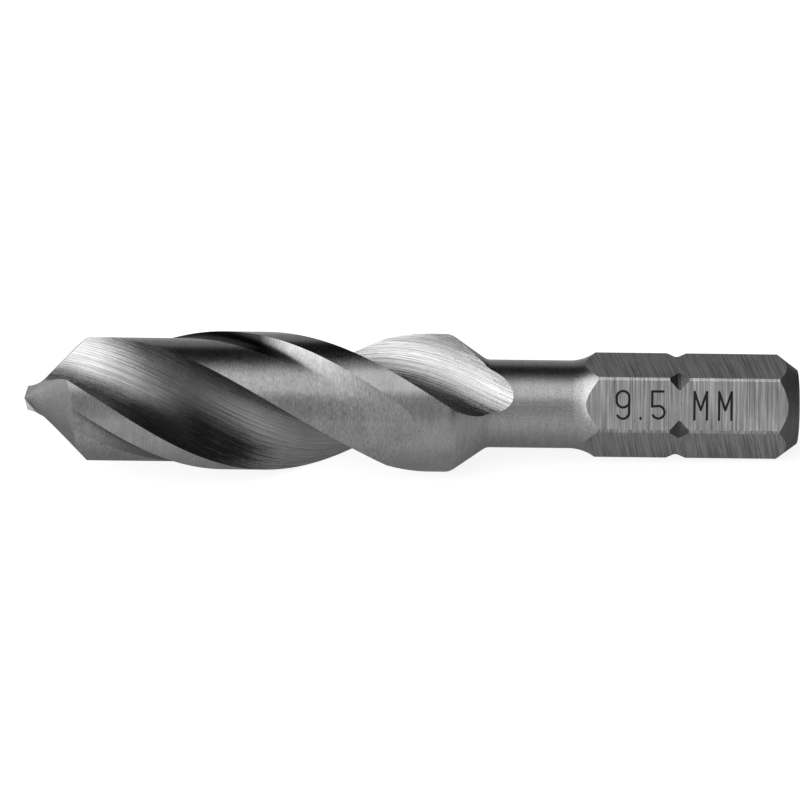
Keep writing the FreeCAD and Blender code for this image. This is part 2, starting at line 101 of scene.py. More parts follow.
FLANK_RISE = 0.0041
CHISEL_SLOPE = 0.3
CHISEL_BLEND = 45.0
HEEL_BLEND = 25.0
GASH_WEB = 1.66
GASH_ANGLE = 45.0
GASH_ROUND = 2.0
GASH_PLACE = 0.93
MARK_PLACE = HEX + 1.27
MARK_HIGH = 1.9
MARK_WIDE = 0.86
MARK_PITCH = 1.22
MARK_SPACE = 1.7
MARK_LINE = 0.17
MARK_DEEP = 0.06

# Rounding between the shoulder's cone and the neck, and how far the flare reaches in front of the hexagon.
NECK_ROUND = 0.25
FLARE_REACH = math.sqrt(FLARE_ROUND ** 2 - (FLARE_ROUND - (CORNER - NECK) / 2) ** 2)

# Slope of the grinding marks in the flutes, across for each millimetre along, and how they slip in the run-out.
MARK_SLOPE = 0.5
MARK_SLIP = 0.05

# Turn of the milling marks on each flat, in degrees.
FLAT_TURNS = (0.0, 10.0, 6.0, 0.0, 8.0, 10.0)

# How far cutters reach past the steel, in millimetres and degrees, and the fineness of the surfaces.
CLEAR = 2.5
OVERLAP = 8.0
RUNOUT_CLEAR = 0.4
POINT_REACH = 6.2
STATION = 0.3
ROUND_POINTS = 360
LAND_POINTS = 26
FILLET_POINTS = 16

# The strips of the relief's section that get the fillet's own steel, which carries painted shade, and where that
# steel ends.
FILLET_STRIPS = range(LAND_POINTS - 4, LAND_POINTS + FILLET_POINTS - 1)
FILLET_END = 21.0

# Corners sharper than this, in degrees, aren't smoothed.
SHARP_FROM = 22.0

MM = 0.001

# How the drill lies: rolled about its axis, its shank lower than its point, and where its point is.
REST_ROLL = 57.5
REST_TILT = 2.805
REST_POINT = (-26.6874, 0.0, 5.7811)
TURN = Matrix.Rotation(math.radians(REST_TILT), 4, "Y") @ Matrix.Rotation(math.radians(REST_ROLL), 4, "X")
TO_ROW = Matrix.Translation(Vector(REST_POINT) * MM) @ TURN @ Matrix.Scale(MM, 4)

# Surfaces with a finish of their own, in the order of the material slots.
SURFACES = ["margin", "neck", "flat", "flute", "land", "flank", "gash", "mark", "chamfer", "notch", "fillet"]
SLOT = {name: index for index, name in enumerate(SURFACES)}


def helix_turn(along):
    return 360.0 * along / LEAD


def rim_lift(path, wheel):
    """Rise of a wheel's rim at a distance past its lowest point."""
    path = np.clip(path, 0.0, wheel * 0.999)
    return wheel - np.sqrt(wheel ** 2 - path ** 2)


def placed(along, angle, section):
    """Turns rows of (outward, ahead) in a section into places on the drill; ahead is towards smaller angles."""
    turn = math.radians(angle)
    outward, ahead = np.asarray(section, float).T
    across = outward * math.sin(turn) - ahead * math.cos(turn)
    up = outward * math.cos(turn) + ahead * math.sin(turn)
    return np.stack([np.full_like(across, along), across, up], axis=1)


def arc_points(centre, radius, first, last, count):
    turns = np.linspace(first, last, count)
    return np.stack([centre[0] + radius * np.cos(turns), centre[1] + radius * np.sin(turns)], axis=1)


def line_points(start, end, count):
    share = np.linspace(0.0, 1.0, count)[:, None]
    return np.asarray(start) * (1 - share) + np.asarray(end) * share


# Meshes. A grid is a list of closed rings with one (u, v) pair for each point, in millimetres;
# u runs across the tool marks and v along them.

def new_object(name, mesh):
    item = bpy.data.objects.new(name, mesh)
    bpy.context.scene.collection.objects.link(item)
    return item


def solid_from_rings(name, rings, marks, slots, start_slot, end_slot):
    """Closed solid over rings of equal length. slots gives each strip's surface, for all rows or row by row."""
    count = len(rings[0])
    mesh = bpy.data.meshes.new(name)
    shape = bmesh.new()
    layer = shape.loops.layers.uv.new("Marks")
    rows = [[shape.verts.new(point) for point in ring] for ring in rings]
    for row in range(len(rows) - 1):
        for step in range(count):
            after = (step + 1) % count
            corners = [(row, step), (row, after), (row + 1, after), (row + 1, step)]
            face = shape.faces.new([rows[r][s] for r, s in corners])
            face.material_index = slots[row][step] if isinstance(slots[0], (list, tuple)) else slots[step]
            for loop, (r, s) in zip(face.loops, corners):
                loop[layer].uv = tuple(marks[r][s])
    for row, slot in ((0, start_slot), (-1, end_slot)):
        cap = shape.faces.new(rows[row])
        cap.material_index = slot
        for loop, point in zip(cap.loops, rings[row]):
            loop[layer].uv = (point[1], point[2])
    bmesh.ops.recalc_face_normals(shape, faces=shape.faces)
    shape.to_mesh(mesh)
    shape.free()
    return new_object(name, mesh)


def prism(name, outline, start, end, place, slot, uv_turn=0.0):
    """Solid with a flat outline of (a, b) rows, drawn between two heights; place maps (a, b, height) to the drill."""
    rings = [[place(a, b, height) for a, b in outline] for height in (start, end)]
    turn = math.radians(uv_turn)
    marks = [[(a * math.cos(turn) + b * math.sin(turn), b * math.cos(turn) - a * math.sin(turn)) for a, b in outline]
             for _ in rings]
    made = solid_from_rings(name, rings, marks, [slot] * len(outline), slot, slot)
    layer = made.data.uv_layers["Marks"].data
    for polygon in made.data.polygons:
        if len(polygon.vertices) == len(outline):
            for loop_index in polygon.loop_indices:
                vertex = made.data.loops[loop_index].vertex_index % len(outline)
                layer[loop_index].uv = marks[0][vertex]
    return made


def combine(base, tool, operation):
    """Applies one boolean to the base and removes the tool."""
    modifier = base.modifiers.new("Cut", "BOOLEAN")
    modifier.operation = operation
    modifier.solver = "MANIFOLD"
    modifier.object = tool
    graph = bpy.context.evaluated_depsgraph_get()
    mesh = bpy.data.meshes.new_from_object(base.evaluated_get(graph), preserve_all_data_layers=True, depsgraph=graph)
    base.modifiers.clear()
    old = base.data
    base.data = mesh
    bpy.data.meshes.remove(old)
    bpy.data.objects.remove(tool, do_unlink=True)
    if not mesh.polygons:
        raise RuntimeError("nothing is left after %s" % operation)


def opposite(item):
    """Second copy of a cutter, half a turn about the drill's axis."""
    twin = new_object(item.name + "_opposite", item.data.copy())
    twin.data.transform(Matrix.Rotation(math.pi, 4, "X"))
    return twin


# Blank

def profile_points():
    """Turned outline as rows of (along, radius, surface of the strip that follows)."""
    slope = math.radians(SHOULDER_ANGLE)
    trim = SHOULDER_ROUND * math.tan(slope / 2)
    rows = [(0.0, BODY / 2, "margin")]
    start = SHOULDER - trim
    rows.append((start, BODY / 2, "neck"))
    for step in range(1, 9):
        turn = slope * step / 8
        radius = BODY / 2 - SHOULDER_ROUND * (1 - math.cos(turn))
        rows.append((start + SHOULDER_ROUND * math.sin(turn), radius, "neck"))
    neck_start = SHOULDER + (BODY - NECK) / 2 / math.tan(slope)
    begin = (neck_start - NECK_ROUND * math.cos(slope), NECK / 2 + NECK_ROUND * math.sin(slope))
    end = (neck_start + NECK_ROUND, NECK / 2)
    first, bend, last = Vector(begin), Vector((neck_start, NECK / 2)), Vector(end)
    rows.append((*begin, "neck"))
    for step in range(1, 5):
        share = step / 5
        place = first * (1 - share) ** 2 + bend * 2 * share * (1 - share) + last * share ** 2
        rows.append((place.x, place.y, "neck"))
    rows.append((*end, "neck"))
    for step in range(13):
        along = HEX - FLARE_REACH + FLARE_REACH * step / 12
        back = along - (HEX - FLARE_REACH)
        rows.append((along, NECK / 2 + FLARE_ROUND - math.sqrt(FLARE_ROUND ** 2 - back ** 2), "neck"))
    rows[-1] = (HEX, CORNER / 2, "flat")
    notch = LENGTH - NOTCH_FROM_END
    rows.append((notch - NOTCH_WIDE / 2, CORNER / 2, "notch"))
    rows.append((notch - NOTCH_FLOOR / 2, CORNER / 2 - NOTCH_DEEP, "notch"))
    rows.append((notch + NOTCH_FLOOR / 2, CORNER / 2 - NOTCH_DEEP, "notch"))
    rows.append((notch + NOTCH_WIDE / 2, CORNER / 2, "flat"))
    back = LENGTH - END_DOME
    rim = CORNER / 2 - CHAMFER_DEEP
    rows.append((back - CHAMFER_DEEP / math.tan(math.radians(CHAMFER_ANGLE)), CORNER / 2, "chamfer"))
    rows.append((back, rim, "chamfer"))
    for share in (0.8, 0.6, 0.4, 0.2, 0.05):
        rows.append((LENGTH - END_DOME * share ** 2, rim * share, "chamfer"))
    return rows


def blank():
    rows = profile_points()
    turns = np.linspace(0.0, 2 * math.pi, ROUND_POINTS, endpoint=False)
    rings, marks, slots = [], [], []
    for along, radius, surface in rows:
        rings.append([(along, radius * math.sin(turn), radius * math.cos(turn)) for turn in turns])
        marks.append([(along, turn * radius) for turn in turns])
        slots.append([SLOT[surface]] * len(turns))
    return solid_from_rings("drill", rings, marks, slots, SLOT["flank"], SLOT["chamfer"])


def cut_flats(drill):
    """Six flats, each a block whose inner side lies on the flat."""
    front = HEX - FLARE_REACH
    outline = [(front, -BODY), (LENGTH + CLEAR, -BODY), (LENGTH + CLEAR, BODY), (front, BODY)]
    for side, marks_turn in enumerate(FLAT_TURNS):
        turn = math.radians(60 * side)

        def place(along, across, height):
            return (along,
                    across * math.cos(turn) + height * math.sin(turn),
                    height * math.cos(turn) - across * math.sin(turn))

        combine(drill, prism("flat", outline, FLATS / 2, BODY, place, SLOT["flat"], marks_turn), "DIFFERENCE")


# Flutes

def flute_section():
    """Rows of (outward, ahead) from outside the cutting edge, down the face, round the floor and past the heel."""
    half = FLUTE_ANGLE / 2
    lean = math.radians(FACE_LEAN)
    edge = (BODY / 2 * math.cos(math.radians(half)), BODY / 2 * math.sin(math.radians(half)))
    heel = (RELIEF / 2 * math.cos(math.radians(half)), -RELIEF / 2 * math.sin(math.radians(half)))
    core = WEB / 2
    offset = edge[1] + math.tan(lean) * (core - edge[0])
    slope = (math.sin(lean) - 1) / math.cos(lean)
    reach = heel[0] - core + (heel[1] - offset) * slope
    square = (heel[0] - core) ** 2 + (heel[1] - offset) ** 2
    radius = (reach - math.sqrt(reach ** 2 - slope ** 2 * square)) / slope ** 2
    centre = (core + radius, offset + slope * radius)
    tangent = (centre[0] - radius * math.sin(lean), centre[1] + radius * math.cos(lean))
    first = math.atan2(tangent[1] - centre[1], tangent[0] - centre[0])
    last = math.atan2(heel[1] - centre[1], heel[0] - centre[0])
    last += 2 * math.pi if last < first else 0.0
    past_edge = (edge[0] + CLEAR * math.cos(lean), edge[1] + CLEAR * math.sin(lean))
    along_heel = ((centre[1] - heel[1]) / radius, (heel[0] - centre[0]) / radius)
    past_heel = (heel[0] + CLEAR * along_heel[0], heel[1] + CLEAR * along_heel[1])
    parts = [
        line_points(past_edge, tangent, 22),
        arc_points(centre, radius, first, last, 64)[1:],
        line_points(heel, past_heel, 9)[1:],
    ]
    return np.concatenate(parts)


def scratch_map(section):
    """Coordinate across the grinding marks for each point of a section: how far along the drill a mark has come."""
    steep = np.maximum(MARK_SLOPE - 2 * math.pi / LEAD * section[:, 0], 0.1)
    steps = np.diff(section[:, 1]) / ((steep[1:] + steep[:-1]) / 2)
    return np.concatenate([[0.0], np.cumsum(steps)])


def girth(section):
    """Distance along the section, from its first point and towards smaller 'ahead'."""
    return np.concatenate([[0.0], np.cumsum(np.hypot(*np.diff(section, axis=0).T))])


def flute_cutter(name):
    section = flute_section()
    across = scratch_map(section)
    reach = girth(section)
    middle = EDGE_ANGLE + FLUTE_ANGLE / 2
    rings, marks = [], []
    along = -CLEAR
    while True:
        past = along - FLUTE_STOP
        free = max(past + RUNOUT_BLEND, 0.0) ** 2 / (4 * RUNOUT_BLEND) if past < RUNOUT_BLEND else past
        path = past / math.cos(math.radians(RUNOUT_LEAN)) + section[:, 1] * math.sin(math.radians(RUNOUT_LEAN))
        lift = rim_lift(path, FLUTE_WHEEL - section[:, 0] + WEB / 2)
        shift = free * math.tan(math.radians(RUNOUT_LEAN))
        lift_dir = math.radians(LIFT_ANGLE)
        growth = WEB_GROWTH / 2 * max(along, 0.0)
        outward = section[:, 0] + growth + lift * math.cos(lift_dir) + shift * math.sin(lift_dir)
        ahead = section[:, 1] - lift * math.sin(lift_dir) + shift * math.cos(lift_dir)
        angle = middle - helix_turn(along - free)
        rings.append(placed(along, angle, np.stack([outward, ahead], axis=1)))
        slipped = np.interp(section[:, 1] - MARK_SLIP * free, section[::-1, 1], across[::-1])
        drift = 2 * math.pi / LEAD * section[:, 0]
        beside = along * (1 + MARK_SLOPE * drift) - MARK_SLOPE * reach
        marks.append(np.stack([along - free - slipped, beside], axis=1))
        if past > 0 and np.hypot(outward, ahead).min() > NECK / 2 + RUNOUT_CLEAR:
            break
        along += STATION
    slots = [SLOT["flute"]] * len(section)
    return solid_from_rings(name, rings, marks, slots, SLOT["flute"], SLOT["flute"])


# Lands

def relief_fillet(along):
    """Radius of the fillet beside the margin, which widens just before the wheel lifts out."""
    share = min(max((along - RELIEF_WIDENS) / RELIEF_WIDENING, 0.0), 1.0)
    return RELIEF_ROUND + (RELIEF_ROUND_END - RELIEF_ROUND) * share ** 2 * (3 - 2 * share)


def relief_section(along):
    """Section of the relief's cutter as (outward, ahead) rows, and the angle that its foot is at."""
    low = RELIEF / 2
    body = BODY / 2
    radius = relief_fillet(along)
    pitch = low + radius
    wide = math.acos((pitch ** 2 + body ** 2 - radius ** 2) / (2 * pitch * body))
    foot_angle = EDGE_ANGLE - MARGIN_ANGLE - math.degrees(wide)
    far = math.radians(foot_angle - (EDGE_ANGLE + FLUTE_ANGLE - 180) + OVERLAP)
    lean = math.radians(RELIEF_LEAN)

    def lifted(turns):
        path = (along - RELIEF_STOP) / math.cos(lean) + low * turns * math.sin(lean)
        return rim_lift(path, RELIEF_WHEEL)

    top = (body * math.cos(wide), -body * math.sin(wide))
    swing = math.atan2(-top[1], pitch - top[0])
    sweep = np.linspace(0.0, swing, FILLET_POINTS)
    fillet = np.stack([radius * (1 - np.cos(sweep)), -radius * np.sin(sweep)], axis=1)
    foot = lifted(np.array([0.0]))[0]
    flatter = 1 - foot * (1 - RELIEF_TOP_RISE) / (top[0] - low)
    rise = np.stack([low + foot + fillet[1:, 0] * flatter, fillet[1:, 1]], axis=1)
    above = rise[-1] + [math.sin(swing), -math.cos(swing)]
    land_turns = np.linspace(far, 0.0, LAND_POINTS)
    radii = low + lifted(land_turns)
    land = np.stack([radii * np.cos(land_turns), radii * np.sin(land_turns)], axis=1)
    outside = arc_points((0.0, 0.0), math.hypot(*above), math.atan2(above[1], above[0]), far, 12)
    return np.concatenate([land, rise, [above], outside[1:]]), foot_angle


def relief_cutter(name):
    depth = (BODY - RELIEF) / 2 + 0.1
    last = RELIEF_STOP + math.sqrt(2 * RELIEF_WHEEL * depth - depth ** 2) * math.cos(math.radians(RELIEF_LEAN))
    count = int((last + CLEAR) / STATION) + 1
    rings, marks, slots = [], [], []
    for along in np.linspace(-CLEAR, last, count):
        section, foot_angle = relief_section(along)
        # The fillet's strips get the steel with painted shade up to FILLET_END, and the land's steel past it.
        corner = SLOT["land"] if along > FILLET_END else SLOT["fillet"]
        slots.append([corner if step in FILLET_STRIPS else SLOT["land"] for step in range(len(section))])
        rings.append(placed(along, foot_angle - helix_turn(along), section))
        turned = math.radians(helix_turn(along) - foot_angle)
        marks.append([(along, (math.atan2(a, o) + turned) * RELIEF / 2) for o, a in section])
    return solid_from_rings(name, rings, marks, slots, SLOT["land"], SLOT["land"])


# Point

def flank_slope(turn):
    lip = 1 / math.tan(math.radians(POINT_ANGLE / 2))
    slope = lip + FLANK_RISE * max(0.0, turn - (90 - LIP_ANGLE))
    lead_in = math.sin(math.pi / 2 * min(1.0, turn / CHISEL_BLEND))
    lead_out = math.sin(math.pi / 2 * min(1.0, (180 - turn) / HEEL_BLEND))
    return CHISEL_SLOPE + (slope - CHISEL_SLOPE) * lead_in * lead_out


def kept_behind_flanks():
    """Everything behind the ground point; the drill is what it shares with the blank."""
    rings, marks = [], []
    turns = np.arange(0, 360, 1.5)
    for share in (0.0004, 0.005, 0.02, 0.05, 0.1, 0.17, 0.25, 0.35, 0.5, 0.7, 1.0):
        ring, mark = [], []
        for turn in turns:
            angle = math.radians(90 - turn)
            radius = POINT_REACH / flank_slope(turn % 180) * share
            ring.append((POINT_REACH * share, radius * math.sin(angle), radius * math.cos(angle)))
            mark.append((radius * math.sin(math.radians(turn)), radius * math.cos(math.radians(turn))))
        rings.append(ring)
        marks.append(mark)
    rings.append([(LENGTH + 5, y, z) for _, y, z in rings[-1]])
    marks.append(marks[-1])
    return solid_from_rings("kept", rings, marks, [SLOT["flank"]] * len(turns), SLOT["flank"], SLOT["flank"])


def gash_cutter(name):
    wall = GASH_WEB / 2
    ramp = math.radians(GASH_ANGLE)
    trim = GASH_ROUND * math.tan(ramp / 2)
    start = (GASH_PLACE - trim, wall)
    bow = [(start[0] + GASH_ROUND * math.sin(turn), wall + GASH_ROUND * (1 - math.cos(turn)))
           for turn in np.linspace(0, ramp, 14)]
    far = BODY
    top = (GASH_PLACE + far / math.tan(ramp), wall + far)
    outline = [(-CLEAR, wall)] + bow + [top, (-CLEAR, wall + far)]
    made = prism(name, outline, -far, far, lambda a, b, height: (a, b, height), SLOT["gash"])
    layer = made.data.uv_layers["Marks"].data
    for loop in made.data.loops:
        place = made.data.vertices[loop.vertex_index].co
        layer[loop.index].uv = (place.z, place.y)
    return made


# Marking: the diameter, and the letters of its unit, cut into one flat

def stroke_outline(start, end):
    start, end = Vector(start), Vector(end)
    heading = math.atan2(end.y - start.y, end.x - start.x)
    half = MARK_LINE / 2
    ends = []
    for centre, first in ((end, heading - math.pi / 2), (start, heading + math.pi / 2)):
        for turn in np.linspace(first, first + math.pi, 9):
            ends.append((centre.x + half * math.cos(turn), centre.y + half * math.sin(turn)))
    return ends


def bow_outline(centre, radius, first, last):
    half = MARK_LINE / 2
    first, last = math.radians(first), math.radians(last)
    if last < first:
        first, last = last, first
    rows = [(centre[0] + (radius + half) * math.cos(turn), centre[1] + (radius + half) * math.sin(turn))
            for turn in np.linspace(first, last, 22)]
    for base, inward in ((last, 1), (first, -1)):
        middle = (centre[0] + radius * math.cos(base), centre[1] + radius * math.sin(base))
        for turn in np.linspace(0, math.pi, 9)[1:-1]:
            swing = base + turn if inward == 1 else base + math.pi + turn
            rows.append((middle[0] + half * math.cos(swing), middle[1] + half * math.sin(swing)))
        if inward == 1:
            rows += [(centre[0] + (radius - half) * math.cos(turn), centre[1] + (radius - half) * math.sin(turn))
                     for turn in np.linspace(last, first, 22)]
    return rows


def marking_outlines():
    left = MARK_PLACE
    low = -MARK_HIGH / 2
    high = low + MARK_HIGH
    bowl = MARK_WIDE / 2
    top = high - bowl
    waist = top - 0.14 * MARK_HIGH
    foot = low + bowl
    outlines = [
        bow_outline((left + bowl, top), bowl, 0, 180),
        stroke_outline((left, top), (left, waist)),
        bow_outline((left + bowl, waist), bowl, 180, 360),
        stroke_outline((left + MARK_WIDE, top), (left + MARK_WIDE, foot)),
        bow_outline((left + bowl, foot), bowl, 0, -150),
    ]
    left += MARK_PITCH
    dot = left + MARK_WIDE / 2
    outlines.append(stroke_outline((dot, low), (dot, low + MARK_LINE * 0.4)))
    left += MARK_PITCH
    middle = low + bowl * 1.1
    outlines += [
        stroke_outline((left, high), (left + MARK_WIDE * 0.9, high)),
        stroke_outline((left, high), (left, low + MARK_WIDE)),
        stroke_outline((left, low + MARK_WIDE), (left + bowl, middle + bowl)),
        bow_outline((left + bowl, middle), bowl, 90, -150),
    ]
    left += MARK_PITCH + MARK_SPACE
    for gap in (MARK_SPACE, MARK_PITCH):
        right = left + MARK_WIDE
        dip = (left + bowl, low + MARK_HIGH * 0.35)
        outlines += [
            stroke_outline((left, low), (left, high)),
            stroke_outline((left, high), dip),
            stroke_outline(dip, (right, high)),
            stroke_outline((right, high), (right, low)),
        ]
        left += gap
    return outlines


def build_drill():
    drill = blank()
    combine(drill, kept_behind_flanks(), "INTERSECT")
    cut_flats(drill)
    for maker in (flute_cutter, relief_cutter, gash_cutter):
        tool = maker(maker.__name__)
        twin = opposite(tool)
        combine(drill, tool, "DIFFERENCE")
        combine(drill, twin, "DIFFERENCE")
    for outline in marking_outlines():
        tool = prism("stroke", outline, FLATS / 2 - MARK_DEEP, FLATS / 2 + MARK_DEEP,
                     lambda a, b, height: (a, b, height), SLOT["mark"])
        combine(drill, tool, "DIFFERENCE")
    return drill


# Materials. The marks of turning, milling and grinding run along v of the "Marks" map.

class Nodes:
    """Small helper that adds nodes to a material's tree and links them."""

    def __init__(self, name):
        self.material = bpy.data.materials.new(name)
        self.material.use_nodes = True
        self.tree = self.material.node_tree
        self.tree.nodes.clear()

    def add(self, kind, inputs=None, **settings):
        node = self.tree.nodes.new(kind)
        for key, value in settings.items():
            setattr(node, key, value)
        for key, value in (inputs or {}).items():
            if isinstance(value, bpy.types.NodeSocket):
                self.tree.links.new(value, node.inputs[key])
            else:
                node.inputs[key].default_value = value
        return node

    def marks(self, across, along, shift=0.0):
        """The marks' coordinates, scaled: waves per millimetre across the marks and along them."""
        spot = self.add("ShaderNodeUVMap", uv_map="Marks")
        return self.add("ShaderNodeMapping", {
            "Vector": spot.outputs["UV"],
            "Location": (shift, shift * 0.7, 0.0),
            "Scale": (across, along, 1.0),
        }).outputs["Vector"]

    def noise(self, vector, scale=1.0, detail=2.0, rough=0.6, dimensions="2D"):
        return self.add("ShaderNodeTexNoise", {
            "Vector": vector, "Scale": scale, "Detail": detail, "Roughness": rough,
        }, noise_dimensions=dimensions).outputs["Fac"]

    def remap(self, value, low, high, first, last):
        return self.add("ShaderNodeMapRange", {
            "Value": value, "From Min": low, "From Max": high, "To Min": first, "To Max": last,
        }).outputs["Result"]

    def mix_value(self, first, last, operation="MULTIPLY"):
        return self.add("ShaderNodeMath", {0: first, 1: last}, operation=operation).outputs[0]

    def bump(self, height, depth):
        return self.add("ShaderNodeBump", {"Height": height, "Distance": depth, "Strength": 1.0}).outputs["Normal"]


# Fineness of the uneven tone and of the dark spots in the steel, in waves for each metre.
PATCHES = 450.0
SPECKS = 3240.0


def steel(name, grey, rough, aniso, tone=(0.85, 1.1), lines=(5.0, 0.15), fine=(14.0, 0.3), depth=3e-6, spots=0.0,
          painted_shading=None, painted_top_light=None):
    """Steel with two sizes of tool marks, a soft uneven tone and small dark spots.

    The shading ramps, painted shade and light along x, are two of (from x, to x, from shade, to shade), of which the
    lighter counts, and the top light is the shade of what faces straight up, a painted highlight.
    """
    n = Nodes(name)
    broad = n.noise(n.marks(*lines))
    thin = n.noise(n.marks(*fine, shift=7.3), detail=4.0, rough=0.7)
    place = n.add("ShaderNodeTexCoord").outputs["Object"]
    patch = n.noise(place, scale=PATCHES, detail=5.0, dimensions="3D")
    height = n.add("ShaderNodeMath", {0: broad, 1: 0.6, 2: thin}, operation="MULTIPLY_ADD").outputs[0]
    shade = n.mix_value(n.remap(thin, 0.34, 0.66, tone[0], tone[1]), n.remap(broad, 0.3, 0.7, 0.93, 1.07))
    shade = n.mix_value(shade, n.remap(patch, 0.35, 0.65, 0.93, 1.05))
    if spots:
        speck = n.noise(place, scale=SPECKS, dimensions="3D")
        shade = n.mix_value(shade, n.remap(speck, 0.68, 0.76, 1.0, 1.0 - spots))
    # Painted shade and light: the shade is darkened and lifted in stretches along the drill's length.
    if painted_shading:
        x = n.add("ShaderNodeSeparateXYZ", {0: place}).outputs["X"]
        shade = n.mix_value(shade, n.mix_value(n.remap(x, *painted_shading[0]), n.remap(x, *painted_shading[1]), "MAXIMUM"))
    # Painted highlight: surfaces that face up are made lighter.
    if painted_top_light:
        up = n.add("ShaderNodeSeparateXYZ", {0: n.add("ShaderNodeNewGeometry").outputs["Normal"]}).outputs["Z"]
        shade = n.mix_value(shade, n.remap(up, 0.6, 0.9, 1.0, painted_top_light))
    value = n.mix_value(shade, grey)
    colour = n.add("ShaderNodeCombineColor", {"Red": value, "Green": value, "Blue": n.mix_value(value, 1.012)})
    roughness = n.mix_value(n.remap(thin, 0.25, 0.75, rough[0], rough[1]), n.remap(patch, 0.3, 0.7, 0.92, 1.1))
    shader = n.add("ShaderNodeBsdfPrincipled", {
        "Base Color": colour.outputs["Color"],
        "Metallic": 1.0,
        "Roughness": roughness,
        "Anisotropic": aniso,
        "Normal": n.bump(height, depth),
    })
    if aniso:
        tangent = n.add("ShaderNodeTangent", direction_type="UV_MAP", uv_map="Marks")
        n.tree.links.new(tangent.outputs["Tangent"], shader.inputs["Tangent"])
    output = n.add("ShaderNodeOutputMaterial")
    n.tree.links.new(shader.outputs["BSDF"], output.inputs["Surface"])
    return n.material


def materials():
    land = dict(grey=0.53, rough=(0.28, 0.4), aniso=0.65, tone=(0.76, 1.2), lines=(2.5, 0.5), fine=(10.0, 3.0),
                depth=6e-6, spots=0.4)
    return {
        "margin": steel("margin_steel", grey=0.57, rough=(0.24, 0.34), aniso=0.65, lines=(2.2, 0.4), fine=(10.0, 2.5),
                        depth=3e-6, spots=0.35),
        "neck": steel("neck_steel", grey=0.58, rough=(0.26, 0.42), aniso=0.6, tone=(0.72, 1.25), lines=(3.0, 0.6),
                      fine=(12.0, 8.0), depth=7e-6, spots=0.35),
        # Painted highlight on the flats: the flat that faces up is made lighter by about half again.
        "flat": steel("flat_steel", grey=0.58, rough=(0.4, 0.5), aniso=0.75, tone=(0.6, 1.35), lines=(3.0, 0.07),
                      fine=(7.0, 0.16), depth=1.4e-5, spots=0.3, painted_top_light=1.55),
        # Painted shade in the flutes: their steel is darkened to half from about 8.5 to 12 mm behind the point, with
        # a little painted light nearer the point and further back.
        "flute": steel("flute_steel", grey=0.62, rough=(0.2, 0.3), aniso=0.8, tone=(0.45, 1.4), lines=(2.6, 0.04),
                       fine=(7.5, 0.1), depth=1.8e-5, spots=0.25,
                       painted_shading=((-0.0215, -0.0182, 1.1, 0.5), (-0.0148, -0.0108, 0.5, 1.08))),
        "land": steel("land_steel", **land),
        "flank": steel("flank_steel", grey=0.46, rough=(0.4, 0.5), aniso=0.0, lines=(3.0, 3.0), fine=(9.0, 9.0)),
        "gash": steel("gash_steel", grey=0.5, rough=(0.34, 0.46), aniso=0.2, lines=(4.0, 0.4), fine=(10.0, 1.0),
                      depth=4e-6),
        # Painted shade on the fillet beside the margin: nearly black from about 12 to 16 mm behind the point, lighter
        # towards the point, and back to full from about 18 mm.
        "fillet": steel("fillet_steel", **land, painted_shading=((-0.022, -0.015, 0.85, 0.08), (-0.0106, -0.0085, 0.0, 1.0))),
        "mark": steel("mark_steel", grey=0.06, rough=(0.5, 0.7), aniso=0.0),
        "chamfer": steel("chamfer_steel", grey=0.3, rough=(0.55, 0.65), aniso=0.0, lines=(3.0, 0.3), fine=(9.0, 0.5)),
        "notch": steel("notch_steel", grey=0.13, rough=(0.42, 0.55), aniso=0.3, lines=(4.0, 0.3), fine=(9.0, 0.5)),
    }


def sharpen_borders(mesh):
    """Marks the edges between two surfaces as sharp."""
    shape = bmesh.new()
    shape.from_mesh(mesh)
    for edge in shape.edges:
        if len({face.material_index for face in edge.link_faces}) > 1:
            edge.smooth = False
    shape.to_mesh(mesh)
    shape.free()


def finish_mesh(item):
    """Puts the drill where it lies, with smooth surfaces and sharp edges, and gives each surface its steel."""
    mesh = item.data
    mesh.transform(TO_ROW)
    kinds = np.zeros(len(mesh.polygons), np.int32)
    mesh.polygons.foreach_get("material_index", kinds)
    mesh.materials.clear()
    made = materials()
    for name in SURFACES:
        mesh.materials.append(made[name])
    mesh.polygons.foreach_set("material_index", kinds)
    mesh.shade_smooth()
    mesh.set_sharp_from_angle(angle=math.radians(SHARP_FROM))
    sharpen_borders(mesh)
    mesh.update()
    item.name = "drill_bit_steel"
    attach(item, "root")
    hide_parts("drill_bit")


# Stage: floor, lights and camera

# Soft boxes over the object: reach towards the shank end, from and to, reach towards the back, from and to,
# both in degrees from the plane square to that direction, the softness of both pairs of edges, and strength.
BOXES = [
    (-90, -28, 12, -54, 19, 10, 2.25),
    (-28, -1, 12, -49, 14, 12, 1.45),
    (-1, 13, 10, -42, -1, 12, 1.36),
]
# Cards round it. Their second pair of angles is the turn from straight up towards the back.
CARDS = [
    (-30, 16, 10, -200, -52, 16, 0.36),
    (10, 95, 8, -200, -80, 14, 0.22),
    (-90, 16, 8, 62, 200, 12, 0.3),
    (-95, 95, 5, -190, 190, 5, 0.004),
]
# Share of the light that is left where steel shows other steel.
SECOND_HAND = 0.12
# A ray counts as second hand past this depth. The world's count is one ahead of the floor's.
FLOOR_SECOND = 1.5
WORLD_SECOND = 2.5

FLOOR_HALF = 3.0


